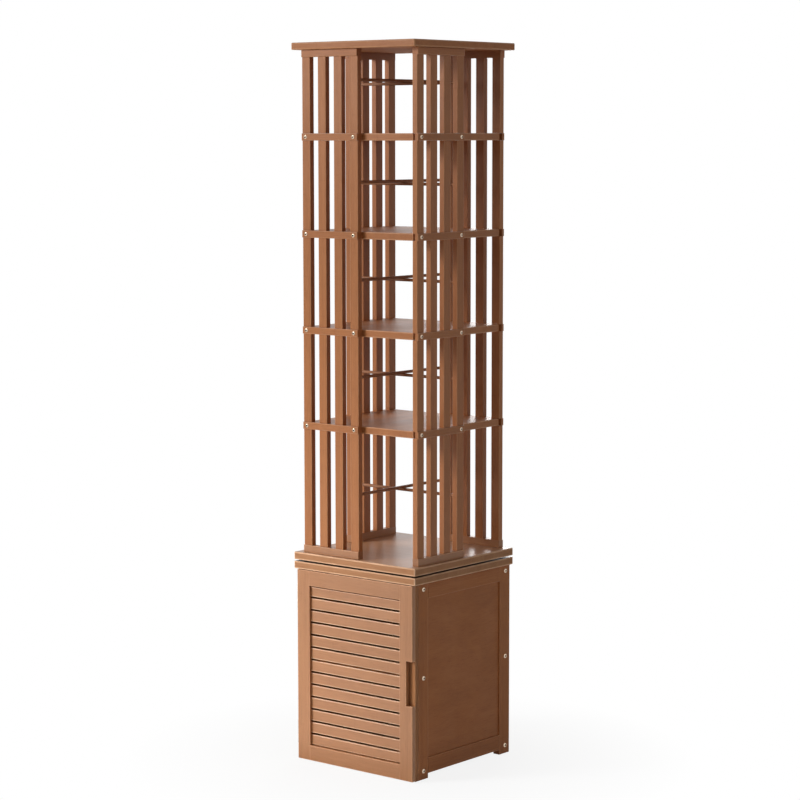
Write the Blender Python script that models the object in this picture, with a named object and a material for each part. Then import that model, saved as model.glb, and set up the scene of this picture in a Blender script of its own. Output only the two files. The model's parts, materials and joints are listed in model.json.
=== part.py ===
# Revolving bookcase: a slatted tower of five tiers that turns on a low cabinet with a louvred door.
# Metres, +Z up. The origin is on the floor, on the axis that the tower turns about.
# The door is on the -Y side and opens towards -Y, on hinges at its -X edge.

from math import cos, pi, radians, sin

import bmesh
import bpy
from mathutils import Matrix, Vector

# Clearances
FIT = 0.0003              # between pieces that touch
DOOR_GAP = 0.0005         # between the closed door and the cabinet's front edge
DOOR_MARGIN = 0.0015      # above and below the door
DOOR_CLEAR = 0.004        # behind the closed door, to the cabinet's shelves
BOARD_GAP = 0.0033        # between the cabinet top and the tower's base board

# Boards and shelves
SHELF_SIDE = 0.344        # square shelves of the tower
SHELF_THICK = 0.018
TOP_THICK = 0.018         # board on top of the tower
BOARD_THICK = 0.020       # tower's base board and cabinet top
BOARD_LIP = 0.0097        # how far those boards stand out past the grilles
BOARD_ROUND = 0.0025      # rounding of their edges

# Clear heights of the tiers
TOP_TIER = 0.2076
MIDDLE_TIER = 0.2248
BASE_TIER = 0.3177
SHELF_COUNT = 4

# Grilles
SLAT_COUNT = 4
SLAT_WIDE = 0.026
SLAT_THICK = 0.015
RAIL_THICK = 0.018        # rails stand proud of the slats
TOP_RAIL_TALL = 0.018
BASE_RAIL_TALL = 0.019
SHELF_RAIL_TALL = 0.018
GRILLE_EDGE = 0.003       # how far a grille's outer end stands past the shelf's edge
GRILLE_PAST = 0.008       # how far a grille reaches past the middle of its side
GROOVE_DEEP = 0.009       # groove in the grille that takes the shelf's edge
TONGUE_SETBACK = 0.007    # from the grille's outer end to the shelf's tongue

# Crossed bars that keep the books apart
BAR_DIA = 0.008
BAR_LAP = 0.001           # how deep the two bars are let into each other
BAR_SEAT = 0.006          # how deep a bar's end goes into a slat
TOP_STOP_RISE = 0.1276    # from the board below to the crossing
MIDDLE_STOP_RISE = 0.1192
BASE_STOP_RISE = 0.1597

# Turntable, let into the board below it and the board above it
PLATE_SIDE = 0.160
PLATE_THICK = 0.0012
BALL_DIA = 0.0024
BALL_COUNT = 20
BALL_CIRCLE_DIA = 0.120
CAGE_WIDE = 0.010
CAGE_THICK = 0.0010
COLLAR_DIA = 0.060
COLLAR_WALL = 0.002
COLLAR_BITE = 0.0008      # how far the collar reaches into the upper plate

# Cabinet
CARCASS_TALL = 0.497      # floor to the underside of the cabinet top
DEPTH_LIP = 0.001         # how far the cabinet top stands out past the door and the back
SIDE_THICK = 0.020
STRIP_DEEP = 0.012
POST_WIDE = 0.038
REAR_POST_WIDE = 0.042
SIDE_TOP_RAIL = 0.040
SIDE_BASE_RAIL = 0.040
FOOT_TALL = 0.0125
PANEL_THICK = 0.006
PANEL_SEAT = 0.006
PANEL_INSET = 0.0035      # from a side's outer face back to its panel
FLOOR_THICK = 0.018
INNER_SHELF_THICK = 0.016
INNER_SHELF_HEIGHT = 0.2577   # floor to the middle of that shelf
STRETCHER_TALL = 0.030
STRETCHER_THICK = 0.018
BACK_THICK = 0.006
BACK_INSET = 0.004

# Door
DOOR_THICK = 0.012
STILE_WIDE = 0.041
DOOR_TOP_RAIL = 0.039
DOOR_BASE_RAIL = 0.039
TENON_LONG = 0.010
TENON_THICK = 0.004
TENON_SHOULDER = 0.006
LOUVRE_COUNT = 13
LOUVRE_THICK = 0.0052
LOUVRE_INSET = 0.0065     # from the door's face back to its slats
LOUVRE_GAP = 0.0042
LOUVRE_LAP = 0.009        # how far a slat's end goes into the rebate of a stile
NOTCH_TALL = 0.113
NOTCH_WIDE = 0.020

# Hinges and catch
HINGE_LONG = 0.060
HINGE_PLATE = 0.0012
HINGE_EDGE = 0.001        # from a leaf's edge to the edge of the wood
HINGE_INSET = 0.070       # door's end to the middle of a hinge
HINGE_TUCK = 0.0001       # from a leaf's face back to the knuckle's widest point
KNUCKLE_DIA = 0.0052
PIN_DIA = 0.0024
STRIKE_THICK = 0.0008
STRIKE_TALL = 0.034
STRIKE_EDGE = 0.002
CATCH_DEEP = 0.024
CATCH_TALL = 0.028

ROUND_SIDES = 24

# Sizes that follow from those above
tower_wide = SHELF_SIDE + 2 * (FIT + RAIL_THICK)
board_side = tower_wide + 2 * BOARD_LIP
cabinet_wide = tower_wide
cabinet_deep = board_side - 2 * DEPTH_LIP
front = -cabinet_deep / 2
back = cabinet_deep / 2
door_back = front + DOOR_THICK
strip_front = door_back + DOOR_GAP
post_front = strip_front + STRIP_DEEP + FIT
louvre_front = front + LOUVRE_INSET
shelf_front = door_back + DOOR_CLEAR
side_inside = cabinet_wide / 2 - SIDE_THICK
back_panel_front = back - BACK_INSET - BACK_THICK

turntable_tall = 2 * PLATE_THICK + BALL_DIA + 4 * FIT
pocket_deep = (turntable_tall - BOARD_GAP) / 2
cabinet_top = CARCASS_TALL + BOARD_THICK
tower_bottom = cabinet_top + BOARD_GAP
tower_floor = tower_bottom + BOARD_THICK
shelf_pitch = MIDDLE_TIER + SHELF_THICK
shelf_bottoms = [tower_floor + BASE_TIER + n * shelf_pitch for n in range(SHELF_COUNT)]
tower_ceiling = shelf_bottoms[-1] + SHELF_THICK + TOP_TIER

shelf_half = SHELF_SIDE / 2
grille_end = shelf_half + GRILLE_EDGE
grille_wide = grille_end + GRILLE_PAST
grille_inside = shelf_half + FIT
louvre_half = cabinet_wide / 2 - STILE_WIDE + LOUVRE_LAP

clay_brown = (0.40, 0.155, 0.055, 1.0)
deep_brown = (0.31, 0.115, 0.042, 1.0)
steel_grey = (0.62, 0.61, 0.58, 1.0)
magnet_grey = (0.10, 0.10, 0.105, 1.0)


def clear_scene():
    for old in list(bpy.data.objects):
        bpy.data.objects.remove(old, do_unlink=True)


def finish(name, colour, roughness, metallic):
    material = bpy.data.materials.new(name)
    material.use_nodes = True
    shader = material.node_tree.nodes["Principled BSDF"]
    shader.inputs["Base Color"].default_value = colour
    shader.inputs["Roughness"].default_value = roughness
    shader.inputs["Metallic"].default_value = metallic
    return material


def add_piece(name, mesh, look, parent=None, place=(0, 0, 0), turn=0.0):
    # Pieces made alike start from one mesh, and each gets its own copy and material.
    piece = bpy.data.objects.new(name, mesh.copy())
    piece.data.name = name
    piece.data.materials.clear()
    piece.data.materials.append(finish(name + "_finish", *look))
    bpy.context.scene.collection.objects.link(piece)
    piece.location = place
    piece.rotation_euler = (0, 0, turn)
    if parent:
        piece.parent = parent
        piece.location = Vector(place) - parent.location
    return piece


def add_axis(name, place):
    axis = bpy.data.objects.new(name, None)
    bpy.context.scene.collection.objects.link(axis)
    axis.location = place
    return axis


def smooth(mesh):
    # Round walls shade smoothly, and corners sharper than this stay crisp.
    mesh.shade_smooth()
    mesh.set_sharp_from_angle(angle=radians(40))
    return mesh


def mesh_of(name, form):
    mesh = bpy.data.meshes.new(name)
    form.to_mesh(mesh)
    form.free()
    return mesh


def inside(point, boxes):
    for low, high in boxes:
        if all(low[a] < point[a] < high[a] for a in range(3)):
            return True
    return False


def flipped(boxes):
    # The same boxes on the other side of the middle plane.
    return [((-high[0], low[1], low[2]), (-low[0], high[1], high[2])) for low, high in boxes]


def block_mesh(name, solids, voids=()):
    # The union of upright boxes less some others, as one skin of square-cornered faces.
    boxes = list(solids) + list(voids)
    cuts = []
    for a in range(3):
        ends = sorted(corner[a] for box in boxes for corner in box)
        cuts.append([e for n, e in enumerate(ends) if n == 0 or e - ends[n - 1] > 1e-7])
    filled = set()
    for i in range(len(cuts[0]) - 1):
        for j in range(len(cuts[1]) - 1):
            for k in range(len(cuts[2]) - 1):
                middle = [(cuts[a][n] + cuts[a][n + 1]) / 2 for a, n in enumerate((i, j, k))]
                if inside(middle, solids) and not inside(middle, voids):
                    filled.add((i, j, k))
    form = bmesh.new()
    corners = {}

    def corner(key):
        if key not in corners:
            corners[key] = form.verts.new([cuts[a][key[a]] for a in range(3)])
        return corners[key]

    for cell in sorted(filled):
        for a in range(3):
            b, c = (a + 1) % 3, (a + 2) % 3
            for side in (0, 1):
                beyond = list(cell)
                beyond[a] += 2 * side - 1
                if tuple(beyond) in filled:
                    continue
                ring = []
                for step_b, step_c in ((0, 0), (1, 0), (1, 1), (0, 1)):
                    key = list(cell)
                    key[a] += side
                    key[b] += step_b
                    key[c] += step_c
                    ring.append(corner(tuple(key)))
                form.faces.new(ring if side else ring[::-1])
    return mesh_of(name, form)


def box_mesh(name, size, rounding=0.0):
    form = bmesh.new()
    bmesh.ops.create_cube(form, size=1.0)
    bmesh.ops.scale(form, vec=size, verts=form.verts)
    if rounding:
        bmesh.ops.bevel(form, geom=form.edges[:], offset=rounding, segments=2, profile=0.5, affect="EDGES")
    return mesh_of(name, form)


def add_rod(form, radius, low, high, sides=ROUND_SIDES):
    # A round bar between two points.
    low, high = Vector(low), Vector(high)
    turn = (high - low).to_track_quat("Z", "Y").to_matrix().to_4x4()
    place = Matrix.Translation((low + high) / 2) @ turn
    bmesh.ops.create_cone(form, cap_ends=True, segments=sides, radius1=radius, radius2=radius,
                          depth=(high - low).length, matrix=place)


def rods_mesh(name, rods):
    form = bmesh.new()
    for radius, low, high in rods:
        add_rod(form, radius, low, high)
    return mesh_of(name, form)


def combine(mesh, other, operation):
    # Joins or cuts one mesh with another and gives back the first, changed.
    base = bpy.data.objects.new("base", mesh)
    tool = bpy.data.objects.new("tool", other)
    bpy.context.scene.collection.objects.link(base)
    bpy.context.scene.collection.objects.link(tool)
    change = base.modifiers.new("change", "BOOLEAN")
    change.operation = operation
    change.solver = "EXACT"
    change.object = tool
    view = bpy.context.evaluated_depsgraph_get()
    result = bpy.data.meshes.new_from_object(base.evaluated_get(view))
    result.name = mesh.name
    for used in (base, tool):
        bpy.data.objects.remove(used, do_unlink=True)
    return result


def ring_mesh(name, inner, outer, low, high, sides):
    form = bmesh.new()
    loops = []
    for radius, z in ((inner, low), (outer, low), (outer, high), (inner, high)):
        loop = []
        for n in range(sides):
            angle = 2 * pi * n / sides
            loop.append(form.verts.new((radius * cos(angle), radius * sin(angle), z)))
        loops.append(loop)
    for n, loop in enumerate(loops):
        above = loops[(n + 1) % len(loops)]
        for m in range(sides):
            after = (m + 1) % sides
            form.faces.new((loop[m], loop[after], above[after], above[m]))
    return mesh_of(name, form)


wood = (clay_brown, 0.42, 0.0)
inner_wood = (deep_brown, 0.55, 0.0)
steel = (steel_grey, 0.35, 1.0)
magnet = (magnet_grey, 0.6, 0.0)


def build_boards(tower):
    # The two boards that face each other have a pocket for the turntable's plates.
    top = box_mesh("tower_top", (board_side, board_side, TOP_THICK), BOARD_ROUND)
    add_piece("tower_top", top, wood, tower, (0, 0, tower_ceiling + TOP_THICK / 2))
    half = PLATE_SIDE / 2 + FIT
    for name, low, face, parent in (("cabinet_top", CARCASS_TALL, 1, None), ("tower_base", tower_bottom, -1, tower)):
        board = box_mesh(name, (board_side, board_side, BOARD_THICK), BOARD_ROUND)
        z = face * BOARD_THICK / 2
        pocket = block_mesh("pocket", [((-half, -half, z - pocket_deep), (half, half, z + pocket_deep))])
        board = combine(board, pocket, "DIFFERENCE")
        add_piece(name, board, wood, parent, (0, 0, low + BOARD_THICK / 2))


def build_shelves(tower):
    # A square board with a tongue on each side that goes into the groove of that side's grille.
    half = shelf_half
    low, high = -SHELF_THICK / 2, SHELF_THICK / 2
    reach = grille_inside + GROOVE_DEEP - FIT
    start = -grille_end + TONGUE_SETBACK
    end = GRILLE_PAST - FIT
    solids = [((-half, -half, low), (half, half, high)),
              ((start, -reach, low), (end, -half, high)),
              ((half, start, low), (reach, end, high)),
              ((-end, half, low), (-start, reach, high)),
              ((-reach, -end, low), (-half, -start, high))]
    shelf = block_mesh("shelf", solids)
    for n, bottom in enumerate(shelf_bottoms):
        add_piece("shelf_%d" % (n + 1), shelf, wood, tower, (0, 0, bottom + SHELF_THICK / 2))


def stop_heights():
    # The middle of each crossed pair of bars, from the base tier up.
    heights = [tower_floor + BASE_STOP_RISE]
    for n, bottom in enumerate(shelf_bottoms):
        rise = TOP_STOP_RISE if n == SHELF_COUNT - 1 else MIDDLE_STOP_RISE
        heights.append(bottom + SHELF_THICK + rise)
    return heights


bar_offset = (BAR_DIA - BAR_LAP) / 2


def grille_mesh(name, bar_shift):
    # Seen from outside: the slats run from the outer end, at the left, to just past the middle.
    bottom = tower_floor + FIT
    top = tower_ceiling - FIT
    pitch = (grille_wide - SLAT_WIDE) / (SLAT_COUNT - 1)
    inner = -grille_inside
    solids = []
    voids = []
    for n in range(SLAT_COUNT):
        x = -grille_end + n * pitch
        solids.append(((x, inner - SLAT_THICK, bottom), (x + SLAT_WIDE, inner, top)))
    rails = [(bottom, bottom + BASE_RAIL_TALL), (top - TOP_RAIL_TALL, top)]
    for low in shelf_bottoms:
        high = low + SHELF_THICK
        middle = (low + high) / 2
        rails.append((middle - SHELF_RAIL_TALL / 2, middle + SHELF_RAIL_TALL / 2))
        voids.append(((-grille_end, inner - GROOVE_DEEP, low - FIT), (GRILLE_PAST, inner, high + FIT)))
    for low, high in rails:
        solids.append(((-grille_end, inner - RAIL_THICK, low), (GRILLE_PAST, inner, high)))
    grille = block_mesh(name, solids, voids)
    seats = []
    for height in stop_heights():
        z = height + bar_shift
        seats.append((BAR_DIA / 2 + FIT, (0, inner - BAR_SEAT - FIT, z), (0, inner + BAR_SEAT, z)))
    return combine(grille, rods_mesh("seats", seats), "DIFFERENCE")


def build_grilles(tower):
    long_bars = grille_mesh("grille_long", bar_offset)
    cross_bars = grille_mesh("grille_cross", -bar_offset)
    for name, mesh, turn in (("front_grille", long_bars, 0), ("right_grille", cross_bars, 90),
                             ("rear_grille", long_bars, 180), ("left_grille", cross_bars, 270)):
        add_piece(name, mesh, wood, tower, (0, 0, 0), radians(turn))


def build_stops(tower):
    # Two round bars, one lapped over the other, that run right across the tower.
    reach = grille_inside + BAR_SEAT
    radius = BAR_DIA / 2
    along = rods_mesh("stop", [(radius, (0, -reach, bar_offset), (0, reach, bar_offset))])
    across = rods_mesh("across", [(radius, (-reach, 0, -bar_offset), (reach, 0, -bar_offset))])
    stop = smooth(combine(along, across, "UNION"))
    for n, height in enumerate(stop_heights()):
        add_piece("book_stop_%d" % (n + 1), stop, wood, tower, (0, 0, height))


def build_turntable(tower, cage):
    lower = cabinet_top - pocket_deep + FIT
    upper = tower_bottom + pocket_deep - FIT - PLATE_THICK
    above = upper + 2 * PLATE_THICK
    collar = COLLAR_DIA / 2
    plate = block_mesh("turntable_lower", [((-PLATE_SIDE / 2, -PLATE_SIDE / 2, lower),
                                            (PLATE_SIDE / 2, PLATE_SIDE / 2, lower + PLATE_THICK))])
    stem = rods_mesh("stem", [(collar, (0, 0, lower + PLATE_THICK / 2), (0, 0, upper + COLLAR_BITE))])
    bore = rods_mesh("bore", [(collar - COLLAR_WALL, (0, 0, lower - PLATE_THICK), (0, 0, above))])
    plate = combine(combine(plate, stem, "UNION"), bore, "DIFFERENCE")
    add_piece("turntable_lower", smooth(plate), steel)

    plate = block_mesh("turntable_upper", [((-PLATE_SIDE / 2, -PLATE_SIDE / 2, upper),
                                            (PLATE_SIDE / 2, PLATE_SIDE / 2, upper + PLATE_THICK))])
    hole = rods_mesh("hole", [(collar + FIT, (0, 0, lower), (0, 0, above))])
    add_piece("turntable_upper", smooth(combine(plate, hole, "DIFFERENCE")), steel, tower)

    circle = BALL_CIRCLE_DIA / 2
    ring = ring_mesh("ball_cage", circle - CAGE_WIDE / 2, circle + CAGE_WIDE / 2,
                     -CAGE_THICK / 2, CAGE_THICK / 2, 3 * BALL_COUNT)
    form = bmesh.new()
    for n in range(BALL_COUNT):
        angle = 2 * pi * n / BALL_COUNT
        place = Matrix.Translation((circle * cos(angle), circle * sin(angle), 0))
        bmesh.ops.create_icosphere(form, subdivisions=1, radius=BALL_DIA / 2, matrix=place)
    balls = mesh_of("balls", form)
    middle = (cabinet_top + tower_bottom) / 2
    add_piece("ball_cage", smooth(combine(ring, balls, "UNION")), steel, cage, (0, 0, middle))


def build_sides():
    # Each side is a frame of posts and rails round a panel, made for +X and mirrored for -X.
    outer, inner = cabinet_wide / 2, side_inside
    groove_high = outer - PANEL_INSET
    groove_low = groove_high - PANEL_THICK
    post_rear = post_front + POST_WIDE
    rear_front = back - REAR_POST_WIDE
    head = CARCASS_TALL - FIT
    base_top = FOOT_TALL + SIDE_BASE_RAIL
    top_base = head - SIDE_TOP_RAIL
    tongue = PANEL_SEAT - FIT

    def groove(y0, y1, z0, z1):
        return ((groove_low - FIT, y0, z0), (groove_high + FIT, y1, z1))

    strip = [((inner, strip_front, 0), (outer, strip_front + STRIP_DEEP, head))], []
    front_post = ([((inner, post_front, 0), (outer, post_rear, head))],
                  [groove(post_rear - PANEL_SEAT, post_rear, FOOT_TALL - FIT, head)])
    rear_post = ([((inner, rear_front, 0), (outer, back, head))],
                 [groove(rear_front, rear_front + PANEL_SEAT, FOOT_TALL - FIT, head)])

    def rail(low, high, seat_low, seat_high):
        body = ((inner, post_rear + FIT, low), (outer, rear_front - FIT, high))
        tenon = ((groove_low, post_rear - tongue, low), (groove_high, rear_front + tongue, high))
        return [body, tenon], [groove(post_rear - tongue, rear_front + tongue, seat_low, seat_high)]

    base_rail = rail(FOOT_TALL, base_top, base_top - PANEL_SEAT, base_top)
    top_rail = rail(top_base, head, top_base, top_base + PANEL_SEAT)
    panel = [((groove_low, post_rear - tongue, base_top - tongue),
              (groove_high, rear_front + tongue, top_base + tongue))], []

    pieces = {"front_strip": strip, "front_post": front_post, "rear_post": rear_post,
              "base_rail": base_rail, "top_rail": top_rail, "panel": panel}
    for name, (solids, voids) in pieces.items():
        add_piece("right_" + name, block_mesh("right_" + name, solids, voids), wood)
        add_piece("left_" + name, block_mesh("left_" + name, flipped(solids), flipped(voids)), wood)


def build_carcass():
    # Boards and stretchers between the two sides.
    half = side_inside - FIT
    rear = back_panel_front - FIT
    head = CARCASS_TALL - FIT
    shelf_low = INNER_SHELF_HEIGHT - INNER_SHELF_THICK / 2
    stretcher_mid = post_front + POST_WIDE / 2
    floor_top = FOOT_TALL + FLOOR_THICK
    pieces = (("cabinet_floor", (shelf_front, FOOT_TALL), (rear, floor_top)),
              ("cabinet_shelf", (shelf_front, shelf_low), (rear, shelf_low + INNER_SHELF_THICK)),
              ("front_stretcher", (stretcher_mid - STRETCHER_THICK / 2, head - STRETCHER_TALL),
               (stretcher_mid + STRETCHER_THICK / 2, head)),
              ("rear_stretcher", (rear - STRETCHER_THICK, head - STRETCHER_TALL), (rear, head)),
              ("back_panel", (back_panel_front, FOOT_TALL), (back_panel_front + BACK_THICK, head)))
    for name, low, high in pieces:
        size = (2 * half, high[0] - low[0], high[1] - low[1])
        place = (0, (low[0] + high[0]) / 2, (low[1] + high[1]) / 2)
        add_piece(name, box_mesh(name, size), inner_wood, None, place)


door_low = DOOR_MARGIN
door_high = CARCASS_TALL - DOOR_MARGIN
door_middle = (door_low + door_high) / 2
hinge_axis = (-cabinet_wide / 2 - FIT - KNUCKLE_DIA / 2, door_back + DOOR_GAP / 2)
hinge_heights = (door_low + HINGE_INSET, door_high - HINGE_INSET)


def build_door(door):
    half = cabinet_wide / 2
    stile_in = half - STILE_WIDE
    tenon_front = front + (DOOR_THICK - TENON_THICK) / 2
    tenon_back = tenon_front + TENON_THICK
    rails = (("door_base_rail", door_low, door_low + DOOR_BASE_RAIL),
             ("door_top_rail", door_high - DOOR_TOP_RAIL, door_high))
    mortises = []
    for name, low, high in rails:
        tenon_low, tenon_high = low + TENON_SHOULDER, high - TENON_SHOULDER
        body = ((-stile_in + FIT, front, low), (stile_in - FIT, door_back, high))
        reach = stile_in + TENON_LONG - FIT
        tenon = ((-reach, tenon_front, tenon_low), (reach, tenon_back, tenon_high))
        add_piece(name, block_mesh(name, [body, tenon]), wood, door)
        mortises.append(((stile_in, tenon_front - FIT, tenon_low - FIT),
                         (stile_in + TENON_LONG, tenon_back + FIT, tenon_high + FIT)))
    opening_low = door_low + DOOR_BASE_RAIL
    opening_high = door_high - DOOR_TOP_RAIL
    rebate = ((stile_in, louvre_front - FIT, opening_low), (louvre_half + FIT, door_back, opening_high))
    stile = ((stile_in, front, door_low), (half, door_back, door_high))
    voids = mortises + [rebate]
    notch = ((half - NOTCH_WIDE, front, door_middle - NOTCH_TALL / 2),
             (half, door_back, door_middle + NOTCH_TALL / 2))
    add_piece("door_pull_stile", block_mesh("door_pull_stile", [stile], voids + [notch]), wood, door)
    hinge_stile = block_mesh("door_hinge_stile", flipped([stile]), flipped(voids))
    add_piece("door_hinge_stile", hinge_stile, wood, door)

    # The lowest slat stands on the base rail and the highest one meets the top rail.
    pitch = (opening_high - opening_low - 2 * FIT + LOUVRE_GAP) / LOUVRE_COUNT
    slat = box_mesh("louvre", (2 * louvre_half, LOUVRE_THICK, pitch - LOUVRE_GAP))
    for n in range(LOUVRE_COUNT):
        z = opening_low + FIT + n * pitch + (pitch - LOUVRE_GAP) / 2
        add_piece("door_louvre_%02d" % (n + 1), slat, wood, door, (0, louvre_front + LOUVRE_THICK / 2, z))


def build_catch(door):
    # A magnet on the right side's inner face, and the steel plate on the door that it holds.
    shelf_top = INNER_SHELF_HEIGHT + INNER_SHELF_THICK / 2
    z = (shelf_top + CARCASS_TALL - STRETCHER_TALL) / 2
    low, high = louvre_half + STRIKE_EDGE, side_inside - FIT
    strike_back = door_back + FIT + STRIKE_THICK
    strike = box_mesh("strike_plate", (high - STRIKE_EDGE - low, STRIKE_THICK, STRIKE_TALL))
    add_piece("strike_plate", strike, steel, door,
              ((low + high - STRIKE_EDGE) / 2, strike_back - STRIKE_THICK / 2, z))
    body = box_mesh("magnet_catch", (high - low, CATCH_DEEP, CATCH_TALL))
    add_piece("magnet_catch", body, magnet, None,
              ((low + high) / 2, strike_back + FIT + CATCH_DEEP / 2, z))


def leaf_mesh(name, away, bands, wide):
    # A leaf lies to one side of the pin: away is +1 towards the cabinet and -1 towards the door.
    # The bands are the heights where this leaf has its knuckles.
    radius = KNUCKLE_DIA / 2
    plate_high = radius - HINGE_TUCK
    plate_low = plate_high - HINGE_PLATE
    clear = radius + FIT
    ends = (-HINGE_LONG / 2, HINGE_LONG / 2)

    def strip(y0, y1, z0, z1):
        ys = sorted((away * y0, away * y1))
        return ((plate_low, ys[0], z0), (plate_high, ys[1], z1))

    solids = [strip(clear, wide, *ends)] + [strip(0, clear, *band) for band in bands]
    leaf = block_mesh(name, solids)
    for z0, z1 in bands:
        leaf = combine(leaf, rods_mesh("knuckle", [(radius, (0, 0, z0), (0, 0, z1))]), "UNION")
    return leaf


def build_hinges(door):
    third = HINGE_LONG / 3
    half = HINGE_LONG / 2
    middle = [(-half + third + FIT, half - third - FIT)]
    outer = [(-half, -half + third), (half - third, half)]
    seam = DOOR_GAP / 2
    pin = PIN_DIA / 2
    fixed = leaf_mesh("hinge_fixed", 1, outer, seam + STRIP_DEEP - HINGE_EDGE)
    fixed = combine(fixed, rods_mesh("pin", [(pin, (0, 0, -half), (0, 0, half))]), "UNION")
    moving = leaf_mesh("hinge_moving", -1, middle, seam + DOOR_THICK - HINGE_EDGE)
    moving = combine(moving, rods_mesh("bore", [(pin + FIT, (0, 0, -half), (0, 0, half))]), "DIFFERENCE")
    for name, z in zip(("lower", "upper"), hinge_heights):
        place = (*hinge_axis, z)
        add_piece(name + "_hinge_fixed_leaf", smooth(fixed), steel, None, place)
        add_piece(name + "_hinge_door_leaf", smooth(moving), steel, door, place)


def build_bookcase():
    clear_scene()
    tower = add_axis("tower_axis", (0, 0, tower_bottom))
    cage = add_axis("cage_axis", (0, 0, cabinet_top))
    door = add_axis("door_axis", (*hinge_axis, door_middle))
    build_boards(tower)
    build_shelves(tower)
    build_grilles(tower)
    build_stops(tower)
    build_turntable(tower, cage)
    build_sides()
    build_carcass()
    build_door(door)
    build_catch(door)
    build_hinges(door)


build_bookcase()
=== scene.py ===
# Looks for the revolving bookcase: stained bamboo, steel fittings, soft studio light and the camera.
import json
import math
import random

import bmesh
import bpy
from mathutils import Euler, Matrix, Quaternion, Vector

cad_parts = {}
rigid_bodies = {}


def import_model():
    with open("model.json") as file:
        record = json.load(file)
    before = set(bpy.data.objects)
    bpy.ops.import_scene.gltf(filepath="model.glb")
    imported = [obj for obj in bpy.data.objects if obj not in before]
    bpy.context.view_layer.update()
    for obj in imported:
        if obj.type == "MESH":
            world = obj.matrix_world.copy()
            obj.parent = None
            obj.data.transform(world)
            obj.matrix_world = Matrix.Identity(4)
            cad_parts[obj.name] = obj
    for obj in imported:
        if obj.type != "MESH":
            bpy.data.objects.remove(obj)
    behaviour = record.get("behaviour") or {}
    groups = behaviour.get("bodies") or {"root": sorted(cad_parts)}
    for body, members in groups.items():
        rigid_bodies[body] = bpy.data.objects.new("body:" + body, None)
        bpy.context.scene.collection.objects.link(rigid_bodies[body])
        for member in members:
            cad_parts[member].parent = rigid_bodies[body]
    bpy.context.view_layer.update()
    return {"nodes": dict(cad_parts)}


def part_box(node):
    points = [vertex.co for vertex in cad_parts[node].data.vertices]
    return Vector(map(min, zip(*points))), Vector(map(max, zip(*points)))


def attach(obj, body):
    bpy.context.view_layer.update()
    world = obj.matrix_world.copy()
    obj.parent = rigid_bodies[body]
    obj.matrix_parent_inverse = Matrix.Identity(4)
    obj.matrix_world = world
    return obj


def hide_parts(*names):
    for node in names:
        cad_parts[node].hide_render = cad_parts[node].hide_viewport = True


for startObject in list(bpy.data.objects):
    bpy.data.objects.remove(startObject, do_unlink=True)

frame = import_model()
nodes = frame["nodes"]
print("frame loaded with", len(nodes), "solids")


# Node helpers

def addNode(tree, kind, inputs=None, **settings):
    made = tree.nodes.new(kind)
    for name, value in settings.items():
        setattr(made, name, value)
    for name, value in (inputs or {}).items():
        if isinstance(value, bpy.types.NodeSocket):
            tree.links.new(value, made.inputs[name])
        else:
            made.inputs[name].default_value = value
    return made


def mathNode(tree, operation, first, second=0.0, clamp=False):
    made = addNode(tree, "ShaderNodeMath", {0: first, 1: second}, operation=operation, use_clamp=clamp)
    return made.outputs[0]


def vectorNode(tree, operation, first, second):
    made = addNode(tree, "ShaderNodeVectorMath", {0: first, 1: second}, operation=operation)
    return made.outputs[0]


def noiseNode(tree, place, scale, detail, roughness=0.5, distortion=0.0):
    made = addNode(tree, "ShaderNodeTexNoise", {"Vector": place, "Scale": scale, "Detail": detail,
                                                "Roughness": roughness, "Distortion": distortion})
    return made.outputs["Fac"]


def rangeNode(tree, value, fromLow, fromHigh, toLow=0.0, toHigh=1.0):
    made = addNode(tree, "ShaderNodeMapRange", {"Value": value, "From Min": fromLow, "From Max": fromHigh,
                                                "To Min": toLow, "To Max": toHigh})
    return made.outputs[0]


def colourMix(tree, share, first, second):
    made = addNode(tree, "ShaderNodeMix", {"Factor": share, 6: first, 7: second}, data_type="RGBA")
    return made.outputs[2]


def openGroup(name, inputs, outputs):
    group = bpy.data.node_groups.new(name, "ShaderNodeTree")
    for socketName, socketKind in inputs:
        group.interface.new_socket(socketName, in_out="INPUT", socket_type=socketKind)
    for socketName, socketKind in outputs:
        group.interface.new_socket(socketName, in_out="OUTPUT", socket_type=socketKind)
    return group, group.nodes.new("NodeGroupInput").outputs, group.nodes.new("NodeGroupOutput").inputs


def placeGroup(tree, group, inputs):
    return addNode(tree, "ShaderNodeGroup", inputs, node_tree=group).outputs


def floatSockets(*names):
    return [(name, "NodeSocketFloat") for name in names]


# Shared effects. Grain runs along X of the grain attribute, in metres.
# Each noise is given as scale, detail, roughness and distortion.

grainValues = {
    "figureStretch": (2.6, 62.0, 62.0),     # broad streaks per metre, along and across
    "figureNoise": (1.0, 3.0, 0.55, 0.25),
    "fibreStretch": (16.0, 820.0, 820.0),   # fine fibres per metre
    "fibreNoise": (1.0, 2.0, 0.60),
    "poreStretch": (34.0, 1250.0, 1250.0),  # short dark pores per metre
    "poreNoise": (1.0, 1.0, 0.50),
    "poreRange": (0.57, 0.70),              # where a pore starts and is full
    "mottleStretch": (7.0, 17.0, 17.0),     # slow clouds in the stain per metre
    "mottleNoise": (1.0, 4.0, 0.62, 0.60),
    "staveShiftAlong": 9.0,                 # how far the figure may move from stave to stave
    "staveShiftDeep": 0.7,
    "knuckleShift": 7.0,
    "knuckleSpacing": 0.34,                 # bamboo joints along a stave
    "knuckleWidth": 0.010,                  # as a share of the spacing
    "glueWidth": 0.018,                     # as a share of the stave
    "markShade": 0.5,                       # how dark knuckles and glue lines are
    "glueDeep": 0.8,
    "poreDeep": 0.6,
    "knuckleTall": 0.4,
}


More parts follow.
